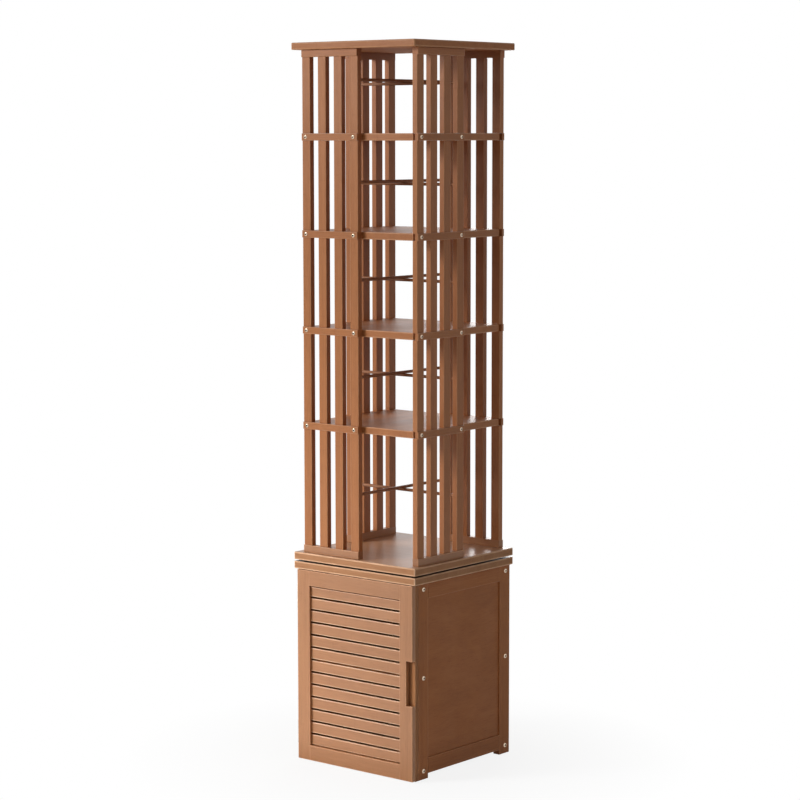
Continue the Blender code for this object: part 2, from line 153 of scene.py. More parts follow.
def makeGrainGroup():
    v = grainValues
    sockets = [("Grain", "NodeSocketVector")]
    sockets += floatSockets("Tone", "Stave Width", "Stave Contrast", "Figure Contrast", "Fibre Contrast",
                            "Pores", "Mottle")
    group, given, result = openGroup("stavedGrain", sockets, floatSockets("Shade", "Height"))
    parts = addNode(group, "ShaderNodeSeparateXYZ", {0: given["Grain"]}).outputs
    across = mathNode(group, "DIVIDE", parts["Y"], given["Stave Width"])
    stave = mathNode(group, "FLOOR", across)
    key = addNode(group, "ShaderNodeCombineXYZ", {"X": stave, "Y": given["Tone"]}).outputs[0]
    chance = addNode(group, "ShaderNodeTexWhiteNoise", {"Vector": key}, noise_dimensions="3D")
    jitter = chance.outputs["Value"]
    shiftAlong = mathNode(group, "MULTIPLY", jitter, v["staveShiftAlong"])
    shiftDeep = mathNode(group, "MULTIPLY", jitter, v["staveShiftDeep"])
    shift = addNode(group, "ShaderNodeCombineXYZ", {"X": shiftAlong, "Z": shiftDeep}).outputs[0]
    moved = vectorNode(group, "ADD", given["Grain"], shift)
    figure = noiseNode(group, vectorNode(group, "MULTIPLY", moved, v["figureStretch"]), *v["figureNoise"])
    fibre = noiseNode(group, vectorNode(group, "MULTIPLY", moved, v["fibreStretch"]), *v["fibreNoise"])
    specks = noiseNode(group, vectorNode(group, "MULTIPLY", moved, v["poreStretch"]), *v["poreNoise"])
    pore = rangeNode(group, specks, *v["poreRange"])
    spread = vectorNode(group, "MULTIPLY", given["Grain"], v["mottleStretch"])
    mottle = noiseNode(group, spread, *v["mottleNoise"])
    along = mathNode(group, "ADD", mathNode(group, "DIVIDE", parts["X"], v["knuckleSpacing"]),
                     mathNode(group, "MULTIPLY", jitter, v["knuckleShift"]))
    offKnuckle = mathNode(group, "SUBTRACT", mathNode(group, "FRACT", along), 0.5)
    fromKnuckle = mathNode(group, "ABSOLUTE", offKnuckle)
    knuckle = rangeNode(group, fromKnuckle, 0.0, v["knuckleWidth"], 1.0, 0.0)
    fromGlue = mathNode(group, "PINGPONG", across, 0.5)
    glue = rangeNode(group, fromGlue, 0.0, v["glueWidth"], 1.0, 0.0)

    def share(value, contrast):
        return mathNode(group, "MULTIPLY", mathNode(group, "SUBTRACT", value, 0.5), given[contrast])

    shade = mathNode(group, "ADD", 0.5, share(jitter, "Stave Contrast"))
    shade = mathNode(group, "ADD", shade, share(figure, "Figure Contrast"))
    shade = mathNode(group, "ADD", shade, share(fibre, "Fibre Contrast"))
    shade = mathNode(group, "ADD", shade, share(mottle, "Mottle"))
    shade = mathNode(group, "SUBTRACT", shade, mathNode(group, "MULTIPLY", pore, given["Pores"]))
    marks = mathNode(group, "MULTIPLY", mathNode(group, "MAXIMUM", knuckle, glue), given["Stave Contrast"])
    marks = mathNode(group, "MULTIPLY", marks, v["markShade"])
    shade = mathNode(group, "SUBTRACT", shade, marks, clamp=True)
    height = mathNode(group, "SUBTRACT", fibre, mathNode(group, "MULTIPLY", glue, v["glueDeep"]))
    height = mathNode(group, "SUBTRACT", height, mathNode(group, "MULTIPLY", pore, v["poreDeep"]))
    height = mathNode(group, "ADD", height, mathNode(group, "MULTIPLY", knuckle, v["knuckleTall"]))
    group.links.new(shade, result["Shade"])
    group.links.new(height, result["Height"])
    return group


edgeValues = {"patchNoise": (26.0, 2.0), "patchRange": (0.3, 0.7), "patchShares": (0.55, 1.0)}


def makeEdgeGroup():
    # Rounded edges are paler in patches: partly thinner stain, partly a painted highlight along the edges.
    v = edgeValues
    sockets = [("Grain", "NodeSocketVector")] + floatSockets("Edge", "Amount")
    group, given, result = openGroup("thinStainAndHighlightEdges", sockets, floatSockets("Mask"))
    patches = noiseNode(group, given["Grain"], *v["patchNoise"])
    uneven = rangeNode(group, patches, *v["patchRange"], *v["patchShares"])
    rubbedAndHighlit = mathNode(group, "MULTIPLY", given["Edge"], uneven)
    mask = mathNode(group, "MULTIPLY", rubbedAndHighlit, given["Amount"], clamp=True)
    group.links.new(mask, result["Mask"])
    return group


smudgeValues = {"cloudNoise": (9.0, 4.0, 0.6), "cloudRange": (0.3, 0.7), "mattRoughness": 0.85}


def makeSmudgeGroup():
    # Slow, uneven gloss from handling and polish, and matt where the finish is left raw.
    v = smudgeValues
    sockets = [("Place", "NodeSocketVector")] + floatSockets("Low", "High", "Under")
    group, given, result = openGroup("handledGloss", sockets, floatSockets("Roughness"))
    cloud = noiseNode(group, given["Place"], *v["cloudNoise"])
    level = rangeNode(group, cloud, *v["cloudRange"], given["Low"], given["High"])
    raw = mathNode(group, "MULTIPLY", given["Under"], v["mattRoughness"])
    group.links.new(mathNode(group, "MAXIMUM", level, raw), result["Roughness"])
    return group


grainGroup = makeGrainGroup()
edgeGroup = makeEdgeGroup()
smudgeGroup = makeSmudgeGroup()


# Materials

def openMaterial(name):
    made = bpy.data.materials.new(name)
    made.use_nodes = True
    return made, made.node_tree, made.node_tree.nodes["Principled BSDF"]


def readAttribute(tree, name):
    return addNode(tree, "ShaderNodeAttribute", attribute_name=name).outputs


def linkSurface(tree, shader, colour, roughness, height, v):
    bump = addNode(tree, "ShaderNodeBump", {"Height": height, "Strength": v["bump"],
                                            "Distance": v["bumpDeep"]})
    tree.links.new(colour, shader.inputs["Base Color"])
    tree.links.new(roughness, shader.inputs["Roughness"])
    tree.links.new(bump.outputs[0], shader.inputs["Normal"])


woodValues = {
    "dark": (0.290, 0.100, 0.030, 1.0),
    "middle": (0.400, 0.147, 0.047, 1.0),
    "light": (0.510, 0.202, 0.072, 1.0),
    "stops": (0.15, 0.50, 0.85),           # shades that take the three colours
    # Pale edge colour: partly thinner stain, partly a painted highlight.
    "edge": (0.680, 0.360, 0.190, 1.0),
    "edgeAmount": 0.45,
    "gapShade": (0.050, 0.018, 0.007, 1.0),
    "sealAmount": 0.0,                     # how strongly the matt side takes the painted gap shade
    "staveWidth": 0.024,
    "staveContrast": 0.16,
    "figureContrast": 0.42,
    "fibreContrast": 0.38,
    "pores": 0.26,
    "mottle": 0.20,
    "glossLow": 0.34,
    "glossHigh": 0.44,
    "shine": 0.24,
    "polish": 0.0,                         # coat on faces that look up
    "polishFrom": 0.9,
    "bump": 0.22,
    "bumpDeep": 0.0004,
}


def stainedWood(name, **changes):
    v = dict(woodValues, **changes)
    made, tree, shader = openMaterial(name)
    grain = readAttribute(tree, "grain")["Vector"]
    tone = readAttribute(tree, "tone")["Fac"]
    edge = readAttribute(tree, "edge")["Fac"]
    under = readAttribute(tree, "under")["Fac"]
    wood = placeGroup(tree, grainGroup, {
        "Grain": grain, "Tone": tone, "Stave Width": v["staveWidth"], "Stave Contrast": v["staveContrast"],
        "Figure Contrast": v["figureContrast"], "Fibre Contrast": v["fibreContrast"], "Pores": v["pores"],
        "Mottle": v["mottle"]})
    ramp = addNode(tree, "ShaderNodeValToRGB", {"Fac": wood["Shade"]})
    darkStop, middleStop, lightStop = v["stops"]
    stops = ramp.color_ramp.elements
    stops[0].position = darkStop
    stops[0].color = v["dark"]
    stops[1].position = lightStop
    stops[1].color = v["light"]
    stops.new(middleStop).color = v["middle"]
    # The pale edges are partly worn stain and partly a painted highlight.
    wornAndHighlit = placeGroup(tree, edgeGroup, {"Grain": grain, "Edge": edge, "Amount": v["edgeAmount"]})
    colour = colourMix(tree, wornAndHighlit["Mask"], ramp.outputs["Color"], v["edge"])
    # Painted shade: the matt side is mixed towards near black, standing in for the shade in the narrow gap
    # between the boards.
    if v["sealAmount"]:
        colour = colourMix(tree, mathNode(tree, "MULTIPLY", under, v["sealAmount"]), colour, v["gapShade"])
    gloss = placeGroup(tree, smudgeGroup, {"Place": grain, "Low": v["glossLow"], "High": v["glossHigh"],
                                           "Under": under})
    linkSurface(tree, shader, colour, gloss["Roughness"], wood["Height"], v)
    shader.inputs["Specular IOR Level"].default_value = v["shine"]
    if v["polish"]:
        normal = addNode(tree, "ShaderNodeNewGeometry").outputs["Normal"]
        upward = addNode(tree, "ShaderNodeSeparateXYZ", {0: normal}).outputs["Z"]
        polish = rangeNode(tree, upward, v["polishFrom"], 1.0, 0.0, v["polish"])
        tree.links.new(polish, shader.inputs["Coat Weight"])
        shader.inputs["Coat Roughness"].default_value = v["glossLow"]
    return made


metalValues = {"streaks": (90.0, 700.0, 90.0), "streakNoise": (1.0, 3.0), "bump": 0.08, "bumpDeep": 0.0002}
zincFinish = {"dark": (0.50, 0.49, 0.46, 1.0), "light": (0.66, 0.65, 0.62, 1.0),
              "glossLow": 0.26, "glossHigh": 0.42}
nickelFinish = {"dark": (0.50, 0.39, 0.29, 1.0), "light": (0.68, 0.55, 0.42, 1.0),
                "glossLow": 0.22, "glossHigh": 0.36}
# Near black for the screw recesses and bolt sockets: painted shade in the hollows.
recessPaintedShade = {"dark": (0.020, 0.014, 0.010, 1.0), "light": (0.050, 0.036, 0.026, 1.0),
                "glossLow": 0.45, "glossHigh": 0.60}


def platedMetal(name, finish):
    v = dict(metalValues, **finish)
    made, tree, shader = openMaterial(name)
    place = addNode(tree, "ShaderNodeTexCoord").outputs["Object"]
    streaks = vectorNode(tree, "MULTIPLY", place, v["streaks"])
    noise = noiseNode(tree, streaks, *v["streakNoise"])
    colour = colourMix(tree, noise, v["dark"], v["light"])
    gloss = placeGroup(tree, smudgeGroup, {"Place": streaks, "Low": v["glossLow"], "High": v["glossHigh"]})
    linkSurface(tree, shader, colour, gloss["Roughness"], noise, v)
    shader.inputs["Metallic"].default_value = 1.0
    return made


plasticValues = {"dark": (0.035, 0.028, 0.024, 1.0), "light": (0.060, 0.048, 0.042, 1.0),
                 "speckleNoise": (1800.0, 2.0), "glossLow": 0.42, "glossHigh": 0.58,
                 "bump": 0.2, "bumpDeep": 0.0002}


def mouldedPlastic(name):
    v = plasticValues
    made, tree, shader = openMaterial(name)
    place = addNode(tree, "ShaderNodeTexCoord").outputs["Object"]
    speckle = noiseNode(tree, place, *v["speckleNoise"])
    colour = colourMix(tree, speckle, v["dark"], v["light"])
    gloss = placeGroup(tree, smudgeGroup, {"Place": place, "Low": v["glossLow"], "High": v["glossHigh"]})
    linkSurface(tree, shader, colour, gloss["Roughness"], speckle, v)
    return made


shadeStain = {"dark": (0.290, 0.098, 0.029, 1.0), "middle": (0.400, 0.143, 0.045, 1.0),
              "light": (0.510, 0.197, 0.069, 1.0)}
# The bars' stain is darkened as painted shade, for bars that sit in shade inside the tower.
barShadedStain = {"dark": (0.180, 0.060, 0.018, 1.0), "middle": (0.250, 0.088, 0.028, 1.0),
            "light": (0.320, 0.120, 0.042, 1.0)}
# A paler, greyer stain for the door, louvres and front strips: partly their own tone, partly a painted sheen
# from the bright floor in front.
paleStainAndSheen = {"dark": (0.288, 0.117, 0.044, 1.0), "middle": (0.384, 0.166, 0.066, 1.0),
             "light": (0.480, 0.219, 0.094, 1.0)}
# The base boards' stain is paler and greyer: partly their own tone, partly a painted sheen in place of the
# shine they lack.
baseStainAndSheen = {"dark": (0.326, 0.149, 0.070, 1.0), "middle": (0.435, 0.212, 0.104, 1.0),
             "light": (0.543, 0.280, 0.146, 1.0)}
# A very pale edge for the base boards and louvres: partly rubbed stain, partly a painted highlight on their
# top edges.
rubbedAndHighlitEdge = (0.860, 0.540, 0.340, 1.0)

boardWood = stainedWood("boardWood", staveWidth=0.040, figureContrast=0.46, edgeAmount=0.6, shine=0.18)
shelfWood = stainedWood("shelfWood", staveWidth=0.030, edgeAmount=0.7)
slatWood = stainedWood("slatWood")
sideWood = stainedWood("sideWood", shine=0.12, **shadeStain)
barWood = stainedWood("barWood", staveWidth=0.050, staveContrast=0.02, edgeAmount=0.2, **barShadedStain)
panelWood = stainedWood("panelWood", staveWidth=0.210, staveContrast=0.04, figureContrast=0.14,
                        fibreContrast=0.20, mottle=0.60, shine=0.13, **shadeStain)
baseWood = stainedWood("baseWood", staveWidth=0.040, figureContrast=0.40, edge=rubbedAndHighlitEdge, edgeAmount=1.0,
                       sealAmount=0.9, glossLow=0.32, glossHigh=0.40, shine=0.05, polish=0.50, **baseStainAndSheen)
# The front strips take the paler stain as painted light, so they look lit where they show through the finger
# notch's shade.
stripWood = stainedWood("stripWood", shine=0.10, **paleStainAndSheen)
doorWood = stainedWood("doorWood", edgeAmount=0.7, shine=0.42, **paleStainAndSheen)
louvreWood = stainedWood("louvreWood", edge=rubbedAndHighlitEdge, edgeAmount=0.9, shine=0.45, **paleStainAndSheen)
innerWood = stainedWood("innerWood", glossLow=0.5, glossHigh=0.62, staveWidth=0.036)
zincSteel = platedMetal("zincSteel", zincFinish)
nickelHead = platedMetal("nickelHead", nickelFinish)
headRecessShade = platedMetal("headRecessShade", recessPaintedShade)
catchPlastic = mouldedPlastic("catchPlastic")
print("materials made:", len(bpy.data.materials))


# Mesh helpers. A stock gathers solids with their grain, tone, edge and matt values, and becomes one piece.

meshValues = {
    "touch": 1e-6,         # places nearer than this are one
    "onFace": 1e-5,        # slack for an edge that lies on a face
    "cornerAngle": 0.5,    # edges blunter than this stay, in radians
    "mergeAngle": 0.02,
    "straightAngle": 0.01,
    "alongShare": 0.99,    # share of an edge's length that has to run along the axis
    "flatNormal": 0.999,
    "mattNormal": 0.9,
    "boardWide": 0.3,      # only solids wider than this have a matt side
    "lineShare": 0.8,      # share of the margin in which edges are paler
    "lineRoom": 2.5,       # margins that a solid has to be wide
    "grainShift": 7.0,     # how far grain may move from solid to solid
    "overhang": 0.01,      # how far a cut stands out of its solid
    "smoothAngle": 50,     # in degrees
}


def newStock():
    return {"points": [], "faces": [], "grain": [], "tone": [], "edge": [], "under": []}


def lineFlats(form, low, high, margin):
    # Cuts that keep the paler edges to a narrow line along the outer edges of the flat faces.
    for axis in range(3):
        if high[axis] - low[axis] < meshValues["lineRoom"] * abs(margin):
            continue
        for place in (low[axis] + margin, high[axis] - margin):
            point, way = Vector(), Vector()
            point[axis] = place
            way[axis] = 1.0
            bmesh.ops.bisect_plane(form, geom=form.verts[:] + form.edges[:] + form.faces[:],
                                   dist=meshValues["touch"], plane_co=point, plane_no=way)


def within(point, boxes, reach=0.0):
    return any(all(low[a] - reach < point[a] < high[a] + reach for a in range(3)) for low, high in boxes)


def addSolid(stock, form, seed, grainAxis, turn=None, margin=0.0, outer=None, mattWay=-1, notch=None):
    # Paler edges keep to the margin of the outer box and of the notch. mattWay is 1 for a matt top. The matt
    # side is rougher, and on baseWood it also takes a painted shade.
    m = meshValues
    draw = random.Random(seed)
    shift = Vector([draw.uniform(0.0, m["grainShift"]) for axis in range(3)])
    tone = draw.random()
    low = Vector([min(p.co[a] for p in form.verts) for a in range(3)])
    high = Vector([max(p.co[a] for p in form.verts) for a in range(3)])
    rimLow, rimHigh = outer or (low, high)
    if margin:
        lineFlats(form, rimLow, rimHigh, margin)
    if notch:
        lineFlats(form, *notch, -margin)
    form.normal_update()
    others = sorted((a for a in range(3) if a != grainAxis), key=lambda a: low[a] - high[a])
    order = [grainAxis] + others
    board = min(high.x - low.x, high.y - low.y) > m["boardWide"]
    band = m["lineShare"] * margin
    first = len(stock["points"])
    form.verts.index_update()
    for point in form.verts:
        normals = [face.normal for face in point.link_faces]
        flats = [max(abs(n) for n in normal) > m["flatNormal"] for normal in normals]
        near = [min(rimHigh[a] - point.co[a], point.co[a] - rimLow[a]) < band for a in range(3)]
        rim = sum(near) > 1 or (notch is not None and within(point.co, [notch], band))
        flat = all(flats) or (any(flats) and not rim)
        matt = board and not rim and any(normal.z * mattWay > m["mattNormal"] for normal in normals)
        place = turn @ point.co if turn else point.co
        stock["points"].append(place[:])
        stock["grain"].extend(point.co[a] + shift[n] for n, a in enumerate(order))
        stock["tone"].append(tone)
        stock["edge"].append(0.0 if flat else 1.0)
        stock["under"].append(1.0 if matt else 0.0)
    for face in form.faces:
        stock["faces"].append([first + p.index for p in face.verts])
    form.free()


def smoothMesh(mesh, angle):
    mesh.shade_smooth()
    mesh.set_sharp_from_angle(angle=math.radians(angle))


def makePiece(name, stock, material, body, slotName, *replaced):
    mesh = bpy.data.meshes.new(name)
    mesh.from_pydata(stock["points"], [], stock["faces"])
    mesh.attributes.new("grain", "FLOAT_VECTOR", "POINT").data.foreach_set("vector", stock["grain"])
    for layer in ("tone", "edge", "under"):
        mesh.attributes.new(layer, "FLOAT", "POINT").data.foreach_set("value", stock[layer])
    mesh.materials.append(material)
    smoothMesh(mesh, meshValues["smoothAngle"])
    piece = bpy.data.objects.new(name, mesh)
    bpy.context.scene.collection.objects.link(piece)
    even = piece.modifiers.new("even shading", "WEIGHTED_NORMAL")
    even.keep_sharp = True
    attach(piece, body)
    if replaced:
        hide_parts(*replaced)


def makeSolid(name, form, seed, grainAxis, material, body, slotName, *replaced, **how):
    stock = newStock()
    addSolid(stock, form, seed, grainAxis, **how)
    makePiece(name, stock, material, body, slotName, *replaced)


def roundEdges(form, radius, segments, pick=None):
    form.normal_update()
    chosen = []
    for edge in form.edges:
        corner = edge.is_convex and edge.calc_face_angle(0) > meshValues["cornerAngle"]
        if corner and (pick is None or pick(edge)):
            chosen.append(edge)
    bmesh.ops.bevel(form, geom=chosen, offset=radius, segments=segments, profile=0.5, affect="EDGES",
                    clamp_overlap=True)


def runsAlong(axis):
    def pick(edge):
        span = edge.verts[1].co - edge.verts[0].co
        return abs(span[axis]) > meshValues["alongShare"] * span.length
    return pick


def liesOn(edge, axis, place, slack=meshValues["onFace"]):
    return all(abs(point.co[axis] - place) < slack for point in edge.verts)


def edgeReach(edge):
    # How far the middle of an edge is from the tower's axis, along X or Y.
    middle = (edge.verts[0].co + edge.verts[1].co) / 2
    return max(abs(middle.x), abs(middle.y))


def barForm(low, high, radius, segments=2, alongOnly=None):
    form = bmesh.new()
    bmesh.ops.create_cube(form, size=1.0)
    bmesh.ops.scale(form, vec=Vector(high) - Vector(low), verts=form.verts)
    bmesh.ops.translate(form, vec=(Vector(low) + Vector(high)) / 2, verts=form.verts)
    roundEdges(form, radius, segments, None if alongOnly is None else runsAlong(alongOnly))
    return form


def blockForm(solids, voids=()):
    # The union of some boxes less others, with its flat faces merged.
    m = meshValues
    boxes = list(solids) + list(voids)
    cuts = []
    for a in range(3):
        ends = sorted(corner[a] for box in boxes for corner in box)
        cuts.append([e for n, e in enumerate(ends) if n == 0 or e - ends[n - 1] > m["touch"]])
    filled = set()
    for i in range(len(cuts[0]) - 1):
        for j in range(len(cuts[1]) - 1):
            for k in range(len(cuts[2]) - 1):
                middle = [(cuts[a][n] + cuts[a][n + 1]) / 2 for a, n in enumerate((i, j, k))]
                if within(middle, solids) and not within(middle, voids):
                    filled.add((i, j, k))
    form = bmesh.new()
    corners = {}
    for cell in sorted(filled):
        for a in range(3):
            b, c = (a + 1) % 3, (a + 2) % 3
            for side in (0, 1):
                beyond = list(cell)
                beyond[a] += 2 * side - 1
                if tuple(beyond) in filled:
                    continue
                ring = []
                for stepB, stepC in ((0, 0), (1, 0), (1, 1), (0, 1)):
                    key = list(cell)
                    key[a] += side
                    key[b] += stepB
                    key[c] += stepC
                    key = tuple(key)
                    if key not in corners:
                        corners[key] = form.verts.new([cuts[n][key[n]] for n in range(3)])
                    ring.append(corners[key])
                form.faces.new(ring if side else ring[::-1])
    form.normal_update()  # new faces have no normals yet, and the merge goes by them
    bmesh.ops.dissolve_limit(form, angle_limit=m["mergeAngle"], verts=form.verts[:], edges=form.edges[:])
    straight = [p for p in form.verts
                if len(p.link_edges) == 2 and p.calc_edge_angle(1.0) < m["straightAngle"]]
    bmesh.ops.dissolve_verts(form, verts=straight)
    return form


def joinRings(form, rings, darkFrom=None):
    # Skins the rings and closes both ends. Bands from darkFrom on take the second material, the painted shade
    # of the socket.
    for order, (lower, upper) in enumerate(zip(rings, rings[1:])):
        for n in range(len(lower)):
            after = (n + 1) % len(lower)
            face = form.faces.new((lower[n], lower[after], upper[after], upper[n]))
            face.material_index = 0 if darkFrom is None or order < darkFrom else 1
    form.faces.new(rings[0][::-1])
    form.faces.new(rings[-1]).material_index = 0 if darkFrom is None else 1


def turnedForm(profile, sides, axis, centre):
    # A closed round form: profile is (distance along the axis, radius), from end to end.
    form = bmesh.new()
    b, c = (axis + 1) % 3, (axis + 2) % 3
    rings = []
    for along, radius in profile:
        ring = []
        for n in range(sides):
            angle = 2 * math.pi * n / sides
            place = Vector(centre)
            place[axis] += along
            place[b] += radius * math.cos(angle)
            place[c] += radius * math.sin(angle)
            ring.append(form.verts.new(place))
        rings.append(ring)
    joinRings(form, rings)
    return form


# The tower

towerSides = ("front", "right", "rear", "left")


def quarterTurn(number):
    return Matrix.Rotation(number * math.pi / 2, 3, "Z")


boardValues = {"round": 0.0024, "facingRound": 0.0009, "facingShave": 0.0006, "segments": 3, "line": 0.0042,
               "rimDeep": 0.01, "pocketSide": 0.1606, "pocketDeep": 0.00135, "seed": 100}


def buildBoards():
    # The two boards that face each other are hollowed for the turntable's plates.
    # They are shaved a little there, which keeps a clear dark gap between them.
    v = boardValues
    half = v["pocketSide"] / 2
    over = meshValues["overhang"]
    for n, (node, body) in enumerate((("tower_top", "tower"), ("tower_base", "tower"),
                                      ("cabinet_top", "cabinet"))):
        low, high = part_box(node)
        voids = []
        facing = None
        if node == "tower_base":
            voids = [((-half, -half, low.z - over), (half, half, low.z + v["pocketDeep"]))]
            low.z += v["facingShave"]
            facing = low.z
        if node == "cabinet_top":
            voids = [((-half, -half, high.z - v["pocketDeep"]), (half, half, high.z + over))]
            high.z -= v["facingShave"]
            facing = high.z
        form = blockForm([(low, high)], voids)
        rim = high.x - v["rimDeep"]

        def facingEdge(edge):
            return facing is not None and liesOn(edge, 2, facing)

        roundEdges(form, v["round"], v["segments"],
                   lambda edge: edgeReach(edge) > rim and not facingEdge(edge))
        roundEdges(form, v["facingRound"], v["segments"],
                   lambda edge: edgeReach(edge) > rim and facingEdge(edge))
        # The facing sides are the matt ones; baseWood paints a shade on them that darkens the gap between the
        # boards.
        material = boardWood if node == "tower_top" else baseWood
        makeSolid(node + "_board", form, v["seed"] + n, 0, material, body, "board_wood", node,
                  margin=v["line"], mattWay=1 if node == "cabinet_top" else -1)


shelfValues = {"count": 4, "side": 0.344, "tongueStart": 0.007, "fit": 0.0003, "round": 0.0016, "segments": 3,
               "line": 0.0028, "slack": 0.001, "seed": 200}


def buildShelves():
    # A square board with a tongue into each grille.
    v = shelfValues
    half = v["side"] / 2
    grilleLow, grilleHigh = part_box("front_grille")
    start = grilleLow.x + v["tongueStart"]
    end = grilleHigh.x - v["fit"]
    for n in range(1, v["count"] + 1):
        node = "shelf_%d" % n
        low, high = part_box(node)
        reach = high.x
        z0, z1 = low.z, high.z
        solids = [((-half, -half, z0), (half, half, z1)),
                  ((start, -reach, z0), (end, -half, z1)), ((half, start, z0), (reach, end, z1)),
                  ((-end, half, z0), (-start, reach, z1)), ((-reach, -end, z0), (-half, -start, z1))]
        form = blockForm(solids)
        roundEdges(form, v["round"], v["segments"], lambda edge: edgeReach(edge) < half + v["slack"])
        makeSolid("shelf_board_%d" % n, form, v["seed"] + n, n % 2, shelfWood, "tower", "shelf_wood", node,
                  margin=v["line"], outer=solids[0])


grilleValues = {
    "slatCount": 4, "slatWide": 0.026, "slatThick": 0.015, "topRail": 0.018, "baseRail": 0.019,
    "tongueRoom": 0.009, "slatRound": 0.0011, "railRound": 0.0010, "segments": 3, "butt": 0.0001,
    "line": 0.0020, "seed": 300, "sideSeeds": 40, "railSeeds": 20,
}


def grilleForms():
    # The grille as it stands on the front: slats between rails. Shelf rails leave room for the tongues.
    v = grilleValues
    low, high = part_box("front_grille")
    rails = [(low.z, low.z + v["baseRail"], high.y)]
    for n in range(1, shelfValues["count"] + 1):
        shelfLow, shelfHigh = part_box("shelf_%d" % n)
        rails.append((shelfLow.z, shelfHigh.z, high.y - v["tongueRoom"]))
    rails.append((high.z - v["topRail"], high.z, high.y))
    forms = []
    for n, (z0, z1, behind) in enumerate(rails):
        form = blockForm([((low.x, low.y, z0), (high.x, behind, z1))])
        roundEdges(form, v["railRound"], v["segments"], lambda edge: liesOn(edge, 1, low.y))
        forms.append(("rail", n, form))
    pitch = (high.x - low.x - v["slatWide"]) / (v["slatCount"] - 1)
    for n in range(v["slatCount"]):
        x = low.x + n * pitch
        for below, above in zip(rails, rails[1:]):
            z0, z1 = below[1] + v["butt"], above[0] - v["butt"]
            form = barForm((x, high.y - v["slatThick"], z0), (x + v["slatWide"], high.y, z1),
                           v["slatRound"], v["segments"], 2)
            forms.append(("slat", n, form))
    return forms


def buildGrilles():
    v = grilleValues
    for number, side in enumerate(towerSides):
        stock = newStock()
        footStock = newStock()
        for kind, n, form in grilleForms():
            rail = kind == "rail"
            seed = v["seed"] + v["sideSeeds"] * number + n + (v["railSeeds"] if rail else 0)
            taker = footStock if rail and n == 0 else stock
            addSolid(taker, form, seed, 0 if rail else 2, turn=quarterTurn(number), margin=v["line"])
        makePiece(side + "_grille_frame", stock, slatWood, "tower", "grille_wood", side + "_grille")
        makePiece(side + "_grille_foot_rail", footStock, doorWood, "tower", "grille_wood")


barValues = {"count": 5, "diameter": 0.008, "seat": 0.0055, "endRound": 0.0010, "sides": 28, "seed": 500}


def buildBookStops():
    # Crossed pairs of round bars, one lapped over the other.
    v = barValues
    radius = v["diameter"] / 2
    for n in range(1, v["count"] + 1):
        node = "book_stop_%d" % n
        low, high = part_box(node)
        stock = newStock()
        for axis, z in ((1, high.z - radius), (0, low.z + radius)):
            reach = high[axis] - v["seat"]
            profile = [(-reach, radius - v["endRound"]), (-reach + v["endRound"], radius),
                       (reach - v["endRound"], radius), (reach, radius - v["endRound"])]
            form = turnedForm(profile, v["sides"], axis, (0, 0, z))
            addSolid(stock, form, v["seed"] + 2 * n + axis, axis)
        makePiece("book_stop_bars_%d" % n, stock, barWood, "tower", "bar_wood", node)


buildBoards()
buildShelves()
buildGrilles()
buildBookStops()
print("tower dressed")


# The cabinet

sideValues = {"round": 0.0012, "segments": 3, "line": 0.0020, "panelRound": 0.0006, "panelGap": 0.0002,
              "seam": 0.0010, "seed": 600, "railSeed": 610, "panelSeed": 615, "sideSeeds": 20}


def buildSides():
    v = sideValues
    posts = ("front_strip", "front_post", "rear_post")
    rails = ("base_rail", "top_rail")
    for number, side in enumerate(("left", "right")):
        boxes = {name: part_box(side + "_" + name) for name in posts + rails + ("panel",)}
        between = (boxes["front_post"][1].y + v["panelGap"], boxes["rear_post"][0].y - v["panelGap"])
        boxes["front_strip"][1].y -= v["seam"]  # a dark line shows behind the strip
        for n, name in enumerate(posts):
            form = barForm(*boxes[name], v["round"], v["segments"])
            # The strip's paler stain is painted light for where it shows through the finger notch.
            material = stripWood if name == "front_strip" else sideWood
            makeSolid("%s_%s_wood" % (side, name), form, v["seed"] + v["sideSeeds"] * number + n, 2, material,
                      "cabinet", "side_wood", side + "_" + name, margin=v["line"])
        for n, name in enumerate(rails):
            low, high = (corner.copy() for corner in boxes[name])
            low.y, high.y = between
            form = barForm(low, high, v["round"], v["segments"], 1)
            makeSolid("%s_%s_wood" % (side, name), form, v["railSeed"] + v["sideSeeds"] * number + n, 1,
                      sideWood, "cabinet", "side_wood", side + "_" + name, margin=v["line"])
        low, high = (corner.copy() for corner in boxes["panel"])
        low.y, high.y = between
        low.z = boxes["base_rail"][1].z + v["panelGap"]
        high.z = boxes["top_rail"][0].z - v["panelGap"]
        makeSolid(side + "_panel_wood", barForm(low, high, v["panelRound"]),
                  v["panelSeed"] + v["sideSeeds"] * number, 1, panelWood, "cabinet", "panel_wood",
                  side + "_panel")


carcassValues = {"round": {"cabinet_floor": 0.0018, "cabinet_shelf": 0.0018, "front_stretcher": 0.0016,
                           "rear_stretcher": 0.0016, "back_panel": 0.0008}, "seed": 650}


def buildCarcass():
    v = carcassValues
    for n, (node, radius) in enumerate(v["round"].items()):
        makeSolid(node + "_wood", barForm(*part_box(node), radius), v["seed"] + n, 0, innerWood, "cabinet",
                  "inner_wood", node)


buildSides()
buildCarcass()
print("cabinet dressed")


# The door

doorValues = {"round": 0.0012, "innerRound": 0.0005, "segments": 3, "innerSegments": 2, "innerSlack": 0.001,
              "line": 0.0022, "notchWide": 0.020, "notchTall": 0.113, "gap": 0.0001, "fit": 0.0003,
              "seed": 700, "railSeed": 702}
louvreValues = {"count": 13, "round": 0.0014, "segments": 3, "line": 0.0026, "shave": 0.0004,
                "topShave": 0.0030, "baseShave": 0.0019, "seed": 710}


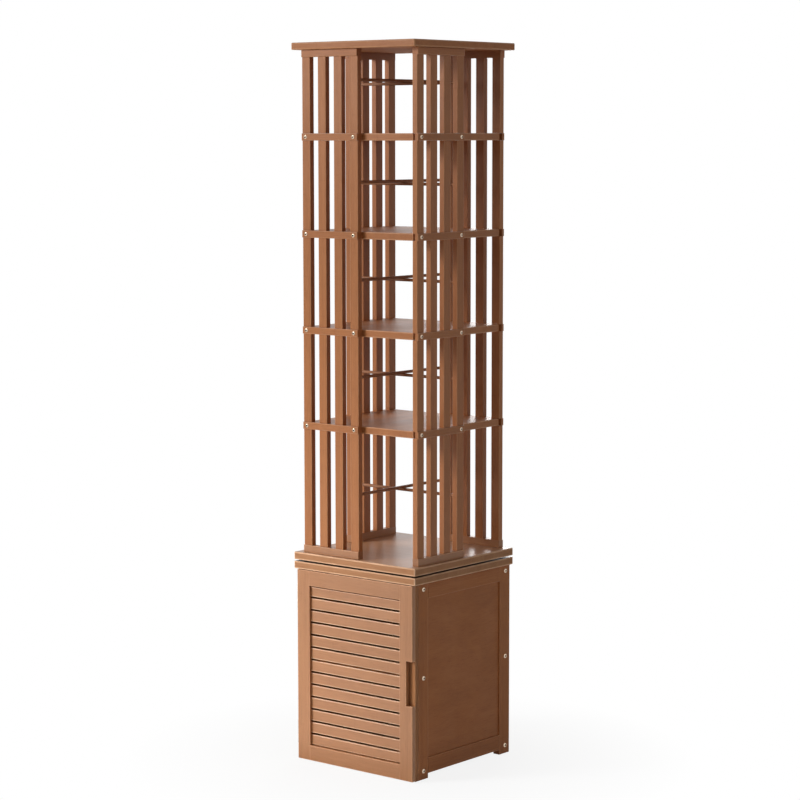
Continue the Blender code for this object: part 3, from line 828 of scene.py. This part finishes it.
def buildDoorFrame():
    # The stiles are rebated behind for the louvres, and the finger notch goes through the pull stile.
    v = doorValues
    over = meshValues["overhang"]
    hingeLow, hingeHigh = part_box("door_hinge_stile")
    pullLow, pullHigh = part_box("door_pull_stile")
    slatLow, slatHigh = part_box("door_louvre_01")
    rebate = ((-slatHigh.x - v["fit"], slatLow.y - v["fit"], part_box("door_base_rail")[1].z),
              (slatHigh.x + v["fit"], pullHigh.y + over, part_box("door_top_rail")[0].z))
    middle = (pullLow.z + pullHigh.z) / 2
    notch = (Vector((pullHigh.x - v["notchWide"], pullLow.y - over, middle - v["notchTall"] / 2)),
             Vector((pullHigh.x + over, pullHigh.y + over, middle + v["notchTall"] / 2)))
    for n, (node, solid, inner) in enumerate((("door_hinge_stile", (hingeLow, hingeHigh), hingeHigh.x),
                                              ("door_pull_stile", (pullLow, pullHigh), pullLow.x))):
        form = blockForm([solid], [rebate, notch])

        def inside(edge):
            return liesOn(edge, 0, inner, v["innerSlack"])

        roundEdges(form, v["round"], v["segments"], lambda edge: not inside(edge))
        roundEdges(form, v["innerRound"], v["innerSegments"], inside)
        makeSolid(node + "_wood", form, v["seed"] + n, 2, doorWood, "door", "door_wood", node,
                  margin=v["line"], notch=notch if node == "door_pull_stile" else None)
    for n, node in enumerate(("door_top_rail", "door_base_rail")):
        low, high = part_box(node)
        low.x = hingeHigh.x + v["gap"]
        high.x = pullLow.x - v["gap"]
        form = barForm(low, high, v["round"], v["segments"], 0)
        makeSolid(node + "_wood", form, v["railSeed"] + n, 0, doorWood, "door", "door_wood", node,
                  margin=v["line"])


def buildLouvres():
    v = louvreValues
    for n in range(1, v["count"] + 1):
        node = "door_louvre_%02d" % n
        low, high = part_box(node)
        low.z += v["baseShave"] if n == 1 else v["shave"]  # a dark line shows at the rails too
        high.z -= v["topShave"] if n == v["count"] else v["shave"]
        makeSolid("louvre_slat_%02d" % n, barForm(low, high, v["round"], v["segments"]), v["seed"] + n, 0,
                  louvreWood, "door", "louvre_wood", node, margin=v["line"])


buildDoorFrame()
buildLouvres()
print("door dressed")


# Fittings. The curve of a head goes from its widest ring up, as shares of the height and of the radius.

headValues = {"foot": 0.97, "curve": ((0.30, 1.00), (0.62, 0.92), (0.86, 0.76)), "smoothAngle": 35}
screwValues = {"diameter": 0.0098, "tall": 0.0020, "crown": 0.45, "sides": 28, "crossWide": 0.0021,
               "crossLong": 0.0066, "crossDeep": 0.0017, "turn": 38, "seat": 0.00002, "overhang": 0.001}
leafScrewValues = {"diameter": 0.0046, "tall": 0.0006, "crown": 0.45, "sides": 28, "crossWide": 0.0007,
                   "crossLong": 0.0030, "crossDeep": 0.0004, "turn": 20, "seat": 0.00002, "overhang": 0.001}
boltValues = {"diameter": 0.0114, "tall": 0.0024, "crown": 0.60, "sides": 24, "socket": 0.0050,
              "socketDeep": 0.0020, "socketTaper": 0.94, "seat": 0.00002, "inset": 0.019}


def headProfile(v):
    radius = v["diameter"] / 2
    curve = [(v["tall"] * up, radius * out) for up, out in headValues["curve"]]
    return [(v["seat"], radius * headValues["foot"])] + curve + [(v["tall"], radius * v["crown"])]


def cutMesh(name, bodyForm, cutterForm):
    objects = []
    # The recess faces take the painted shade material.
    for form, material in ((bodyForm, nickelHead), (cutterForm, headRecessShade)):
        mesh = bpy.data.meshes.new(name)
        form.to_mesh(mesh)
        form.free()
        mesh.materials.append(material)
        holder = bpy.data.objects.new(name, mesh)
        bpy.context.scene.collection.objects.link(holder)
        objects.append(holder)
    cut = objects[0].modifiers.new("recess", "BOOLEAN")
    cut.operation = "DIFFERENCE"
    cut.solver = "EXACT"
    cut.material_mode = "TRANSFER"
    cut.object = objects[1]
    view = bpy.context.evaluated_depsgraph_get()
    result = bpy.data.meshes.new_from_object(objects[0].evaluated_get(view))
    for holder in objects:
        bpy.data.objects.remove(holder, do_unlink=True)
    result.name = name
    smoothMesh(result, headValues["smoothAngle"])
    return result


def crossHeadMesh(name, v):
    length, wide = v["crossLong"] / 2, v["crossWide"] / 2
    low, high = v["tall"] - v["crossDeep"], v["tall"] + v["overhang"]
    arms = blockForm([((-length, -wide, low), (length, wide, high)),
                      ((-wide, -length, low), (wide, length, high))])
    turn = Matrix.Rotation(math.radians(v["turn"]), 3, "Z")
    bmesh.ops.rotate(arms, cent=(0, 0, 0), matrix=turn, verts=arms.verts)
    return cutMesh(name, turnedForm(headProfile(v), v["sides"], 2, (0, 0, 0)), arms)


def hexReach(size, angle):
    # How far the side of a hexagon is from its middle, where size is half its width across the flats.
    return size / math.cos((angle + math.pi / 6) % (math.pi / 3) - math.pi / 6)


def socketHeadMesh(name, v):
    # Round rings up to the crown, then six-sided rings down into the socket.
    outline = [(along, size, False) for along, size in headProfile(v)]
    across = v["socket"] / 2
    socket = [(v["tall"], across, True), (v["tall"] - v["socketDeep"], across * v["socketTaper"], True)]
    form = bmesh.new()
    rings = []
    for along, size, sixSided in outline + socket:
        ring = []
        for n in range(v["sides"]):
            angle = 2 * math.pi * n / v["sides"]
            reach = hexReach(size, angle) if sixSided else size
            ring.append(form.verts.new((reach * math.cos(angle), reach * math.sin(angle), along)))
        rings.append(ring)
    joinRings(form, rings, len(outline))
    mesh = bpy.data.meshes.new(name)
    form.to_mesh(mesh)
    form.free()
    mesh.materials.append(nickelHead)
    # The socket takes a painted shade.
    mesh.materials.append(headRecessShade)
    smoothMesh(mesh, headValues["smoothAngle"])
    return mesh


def addHead(name, mesh, place, normal, body):
    piece = bpy.data.objects.new(name, mesh)
    bpy.context.scene.collection.objects.link(piece)
    piece.location = place
    piece.rotation_mode = "QUATERNION"
    piece.rotation_quaternion = Vector(normal).to_track_quat("Z", "Y")
    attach(piece, body)


def buildScrews():
    # Two in each shelf rail of a grille, in line with the first and the last slat.
    mesh = crossHeadMesh("rail_screw_head", screwValues)
    low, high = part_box("front_grille")
    inset = grilleValues["slatWide"] / 2
    for number, side in enumerate(towerSides):
        turn = quarterTurn(number)
        for n in range(1, shelfValues["count"] + 1):
            shelfLow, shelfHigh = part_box("shelf_%d" % n)
            z = (shelfLow.z + shelfHigh.z) / 2
            for end, x in (("outer", low.x + inset), ("inner", high.x - inset)):
                addHead("%s_screw_%d_%s" % (side, n, end), mesh, turn @ Vector((x, low.y, z)),
                        turn @ Vector((0, -1, 0)), "tower")


def buildBolts():
    # Three in each post, into the floor, the shelf and the stretchers.
    v = boltValues
    mesh = socketHeadMesh("post_bolt_head", v)
    heights = []
    for node in ("cabinet_floor", "cabinet_shelf", "front_stretcher"):
        low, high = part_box(node)
        heights.append((low.z + high.z) / 2)
    for side, way in (("left", -1), ("right", 1)):
        for post in ("front", "rear"):
            low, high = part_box("%s_%s_post" % (side, post))
            x = high.x if way > 0 else low.x
            y = low.y + v["inset"] if post == "front" else high.y - v["inset"]
            for n, z in enumerate(heights):
                addHead("%s_%s_bolt_%d" % (side, post, n + 1), mesh, (x, y, z), (way, 0, 0), "cabinet")


def plateNode(node):
    nodes[node].data.materials.clear()
    nodes[node].data.materials.append(zincSteel)


hingeValues = {"screwRise": (0.2, 0.8), "screwInset": 0.0036, "leafThick": 0.0012, "middleBand": 0.02}


def buildHinges():
    # The leaves are the frame's own solids, plated, with screws on their open faces.
    v = hingeValues
    mesh = crossHeadMesh("leaf_screw_head", leafScrewValues)
    for level in ("lower", "upper"):
        for leaf, body in (("fixed", "cabinet"), ("door", "door")):
            node = "%s_hinge_%s_leaf" % (level, leaf)
            plateNode(node)
            low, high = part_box(node)
            middle = (low.y + high.y) / 2
            back = max(p.co.x for p in nodes[node].data.vertices if abs(p.co.y - middle) < v["middleBand"])
            y = high.y - v["screwInset"] if leaf == "fixed" else low.y + v["screwInset"]
            for n, share in enumerate(v["screwRise"]):
                place = (back - v["leafThick"], y, low.z + share * (high.z - low.z))
                addHead("%s_screw_%d" % (node, n + 1), mesh, place, (-1, 0, 0), body)


def buildTurntable():
    for node in ("turntable_lower", "turntable_upper", "ball_cage", "strike_plate"):
        plateNode(node)


catchValues = {"round": 0.0012, "segments": 2, "poleThick": 0.0012, "poleDeep": 0.004, "poleInset": 0.004,
               "poleProud": 0.0002, "poleApart": 0.0050, "poleRound": 0.0003, "seed": 800}


def buildCatch():
    # A plastic body with two steel poles that stand a little proud of it.
    v = catchValues
    low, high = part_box("magnet_catch")
    form = blockForm([(low + Vector((0, v["poleProud"], 0)), high)])
    roundEdges(form, v["round"], v["segments"])
    makeSolid("magnet_catch_body", form, v["seed"], 2, catchPlastic, "cabinet", "catch_plastic",
              "magnet_catch")
    middle = (low.x + high.x) / 2
    half = v["poleThick"] / 2
    for n, x in ((1, middle - v["poleApart"] / 2), (2, middle + v["poleApart"] / 2)):
        pole = barForm((x - half, low.y, low.z + v["poleInset"]),
                       (x + half, low.y + v["poleDeep"], high.z - v["poleInset"]), v["poleRound"])
        makeSolid("magnet_pole_%d" % n, pole, v["seed"] + n, 2, zincSteel, "cabinet", "hinge_steel")


buildScrews()
buildBolts()
buildHinges()
buildTurntable()
buildCatch()
print("fittings dressed")


# Stage: pale floor, white surroundings, soft lights and the camera

stageValues = {"floorSide": 14.0, "floorDrop": 0.0004, "floorColour": (0.86, 0.86, 0.85, 1.0),
               "floorRoughness": 0.9, "floorShine": 0.1, "shadowShare": 0.13, "fadeFrom": 0.26,
               "fadeTo": 0.75, "white": (1.0, 1.0, 1.0, 1.0), "ambient": 0.12}


def seenRay(tree):
    # One for what the camera sees, directly, in gloss or through glass.
    ray = addNode(tree, "ShaderNodeLightPath").outputs
    bent = mathNode(tree, "MAXIMUM", ray["Is Glossy Ray"], ray["Is Transmission Ray"])
    return mathNode(tree, "MAXIMUM", ray["Is Camera Ray"], bent)


def makeFloor():
    # The floor keeps a share of its shadow near the bookcase and fades to white around it.
    v = stageValues
    half = v["floorSide"] / 2
    corners = [(-half, -half), (half, -half), (half, half), (-half, half)]
    mesh = bpy.data.meshes.new("floor")
    mesh.from_pydata([(x, y, -v["floorDrop"]) for x, y in corners], [], [(0, 1, 2, 3)])
    floor = bpy.data.objects.new("floor", mesh)
    bpy.context.scene.collection.objects.link(floor)
    made, tree, shader = openMaterial("paleFloor")
    shader.inputs["Base Color"].default_value = v["floorColour"]
    shader.inputs["Roughness"].default_value = v["floorRoughness"]
    shader.inputs["Specular IOR Level"].default_value = v["floorShine"]
    white = addNode(tree, "ShaderNodeEmission", {"Color": v["white"], "Strength": 1.0})
    place = addNode(tree, "ShaderNodeTexCoord").outputs["Object"]
    away = addNode(tree, "ShaderNodeVectorMath", {0: place}, operation="LENGTH").outputs["Value"]
    keep = rangeNode(tree, away, v["fadeFrom"], v["fadeTo"], v["shadowShare"], 0.0)
    share = mathNode(tree, "MULTIPLY", mathNode(tree, "SUBTRACT", 1.0, keep), seenRay(tree))
    mix = addNode(tree, "ShaderNodeMixShader", {0: share, 1: shader.outputs[0], 2: white.outputs[0]})
    tree.links.new(mix.outputs[0], tree.nodes["Material Output"].inputs["Surface"])
    mesh.materials.append(made)


def makeWorld():
    v = stageValues
    world = bpy.data.worlds.new("whiteStudio")
    bpy.context.scene.world = world
    world.use_nodes = True
    tree = world.node_tree
    dim = tree.nodes["Background"]
    dim.inputs["Color"].default_value = v["white"]
    dim.inputs["Strength"].default_value = v["ambient"]
    white = addNode(tree, "ShaderNodeBackground", {"Color": v["white"], "Strength": 1.0})
    mix = addNode(tree, "ShaderNodeMixShader", {0: seenRay(tree), 1: dim.outputs[0], 2: white.outputs[0]})
    tree.links.new(mix.outputs[0], tree.nodes["World Output"].inputs["Surface"])


lightValues = {
    "key": {"place": (-2.4, -3.5, 3.1), "aim": (0.0, 0.0, 1.2), "size": (1.2, 0.8), "power": 84.0,
            "spread": 180},
    "sheen": {"place": (-2.5, -3.0, 2.1), "aim": (0.0, 0.0, 1.4), "size": (1.2, 0.8), "power": 28.0,
              "spread": 180},
    "grid": {"place": (-1.25, -1.95, 1.55), "aim": (0.0, -0.2, 0.08), "size": (0.40, 0.25), "power": 1.9,
             "spread": 54},
    "low": {"place": (-1.2, -1.75, 0.30), "aim": (0.0, -0.2, 0.60), "size": (0.9, 0.5), "power": 4.0,
            "spread": 180},
    "glow": {"place": (-0.42, -0.78, 0.003), "aim": (-0.42, -0.78, 1.0), "size": (1.0, 1.0), "power": 2.6,
             "spread": 180},
    "fill": {"place": (4.0, 0.4, 2.6), "aim": (0.0, 0.0, 1.4), "size": (2.0, 2.0), "power": 7.0,
             "spread": 120},
    "back": {"place": (-1.6, 3.8, 1.6), "aim": (0.0, 0.0, 0.9), "size": (2.0, 2.0), "power": 60.0,
             "spread": 180},
}


def makeLights():
    for name, v in lightValues.items():
        lamp = bpy.data.lights.new(name, "AREA")
        lamp.shape = "RECTANGLE"
        lamp.size, lamp.size_y = v["size"]
        lamp.energy = v["power"]
        lamp.spread = math.radians(v["spread"])
        holder = bpy.data.objects.new(name, lamp)
        bpy.context.scene.collection.objects.link(holder)
        holder.location = v["place"]
        way = Vector(v["aim"]) - Vector(v["place"])
        holder.rotation_euler = way.to_track_quat("-Z", "Y").to_euler()


cameraValues = {"place": (3.8983, -4.7187, 1.6021), "pitch": 6.293, "yaw": 39.654, "roll": -0.071,
                "lens": 108.48, "sensor": 36.0}


def makeCamera():
    v = cameraValues
    camera = bpy.data.objects.new("camera", bpy.data.cameras.new("camera"))
    bpy.context.scene.collection.objects.link(camera)
    camera.data.lens = v["lens"]
    camera.data.sensor_width = v["sensor"]
    camera.location = v["place"]
    level = Euler((math.radians(90 - v["pitch"]), 0, math.radians(v["yaw"]))).to_quaternion()
    camera.rotation_mode = "QUATERNION"
    camera.rotation_quaternion = level @ Quaternion((0, 0, 1), math.radians(v["roll"]))
    bpy.context.scene.camera = camera


makeFloor()
makeWorld()
makeLights()
makeCamera()
bpy.context.scene.view_settings.view_transform = "Standard"
print("stage set")
